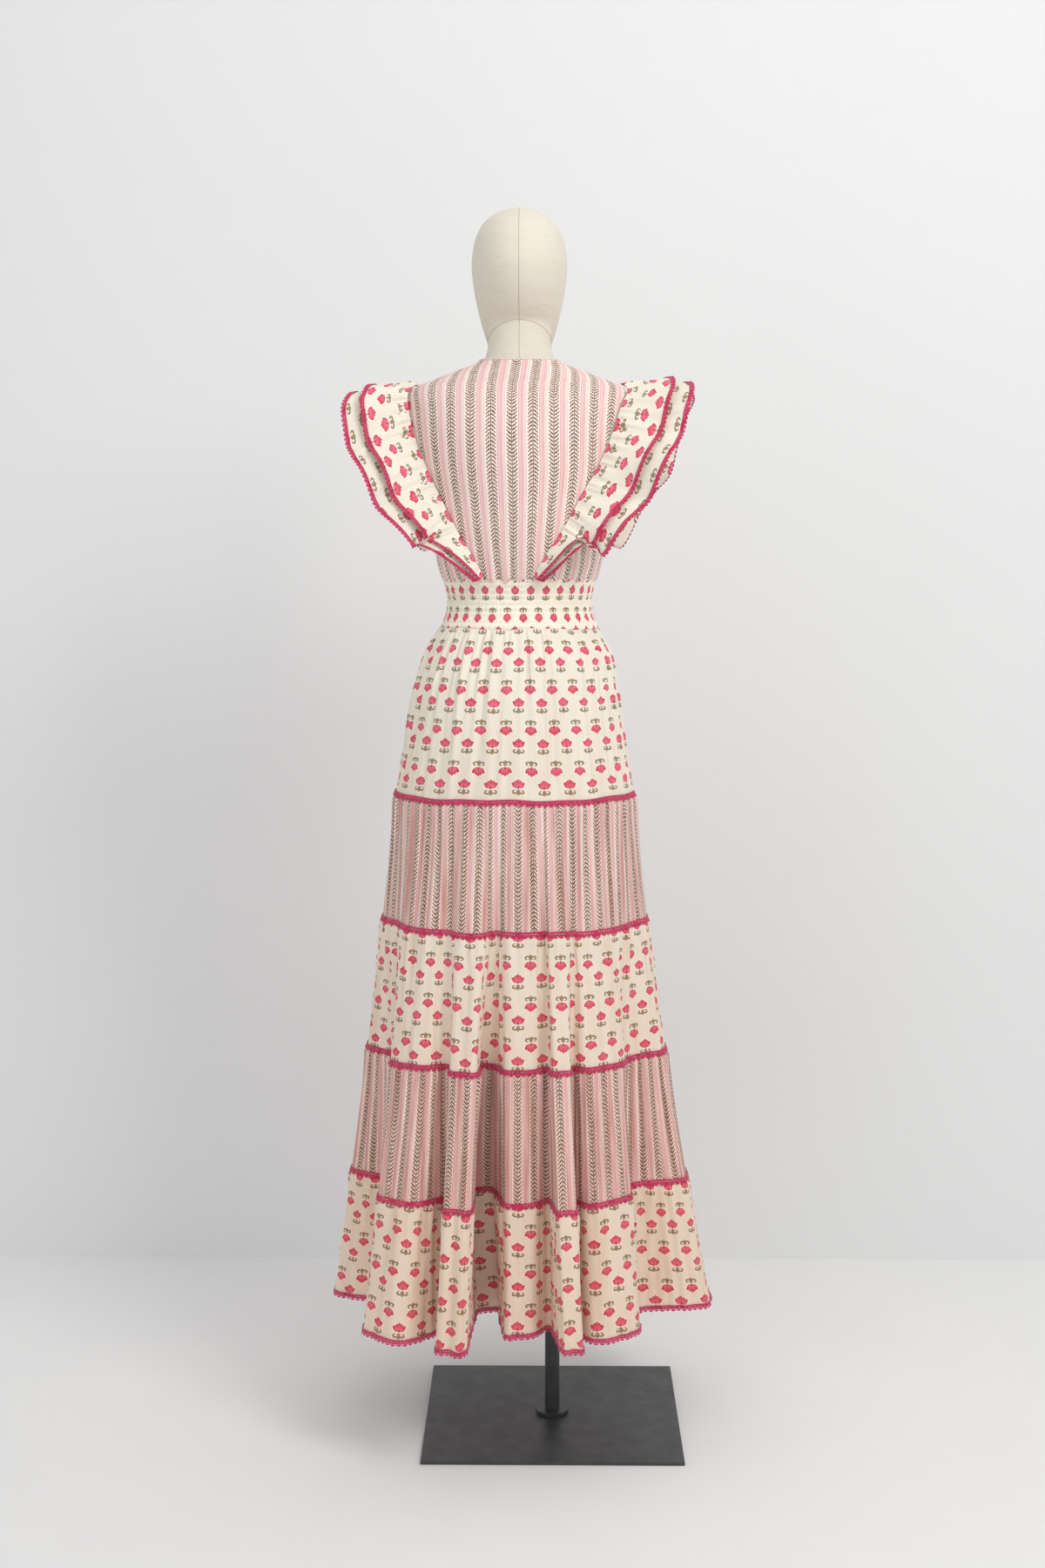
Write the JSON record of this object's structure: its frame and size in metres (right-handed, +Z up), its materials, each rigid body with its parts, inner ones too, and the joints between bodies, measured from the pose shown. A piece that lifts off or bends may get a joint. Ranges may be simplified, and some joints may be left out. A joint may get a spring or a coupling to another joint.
{
  "type": "tiered maxi dress on a limbless dress form with a stand",
  "caption": "Sleeveless long dress with flutter ruffles, a smocked waist and gathered tiers edged in lace, on a headed limbless form over a square base.",
  "frame": {"origin": "centre of the base plate's underside, on the pole's axis", "axes": "+Z up; the back of the dress faces -Y; +X is the wearer's right"},
  "size_m": [0.5912, 0.5668, 1.888],
  "materials": {
    "cream_floral_cotton": "cream cotton voile with a small red and olive block-print flower",
    "pink_vine_stripe_cotton": "ivory cotton voile with vines and pink stripes",
    "pink_crochet_lace": "deep pink cotton crochet",
    "natural_linen": "unbleached linen, plain weave",
    "black_steel": "satin black powder coat"
  },
  "bodies": {
    "root": {"base_plate": "black_steel", "bodice_back": "pink_vine_stripe_cotton", "bodice_front_left": "pink_vine_stripe_cotton", "bodice_front_right": "pink_vine_stripe_cotton", "bodice_side_left": "pink_vine_stripe_cotton", "bodice_side_right": "pink_vine_stripe_cotton", "form_body": "natural_linen", "lace_hem": "pink_crochet_lace", "lace_ruffle_under_left": "pink_crochet_lace", "lace_ruffle_under_right": "pink_crochet_lace", "lace_ruffle_upper_left": "pink_crochet_lace", "lace_ruffle_upper_right": "pink_crochet_lace", "lace_seam_1": "pink_crochet_lace", "lace_seam_2": "pink_crochet_lace", "lace_seam_3": "pink_crochet_lace", "lace_seam_4": "pink_crochet_lace", "pole": "black_steel", "pole_flange": "black_steel", "ruffle_under_left": "cream_floral_cotton", "ruffle_under_right": "cream_floral_cotton", "ruffle_upper_left": "cream_floral_cotton", "ruffle_upper_right": "cream_floral_cotton", "skirt_tier_1": "cream_floral_cotton", "skirt_tier_2": "pink_vine_stripe_cotton", "skirt_tier_3": "cream_floral_cotton", "skirt_tier_4": "pink_vine_stripe_cotton", "skirt_tier_5": "cream_floral_cotton", "waistband": "cream_floral_cotton"}
  },
  "joints": []
}
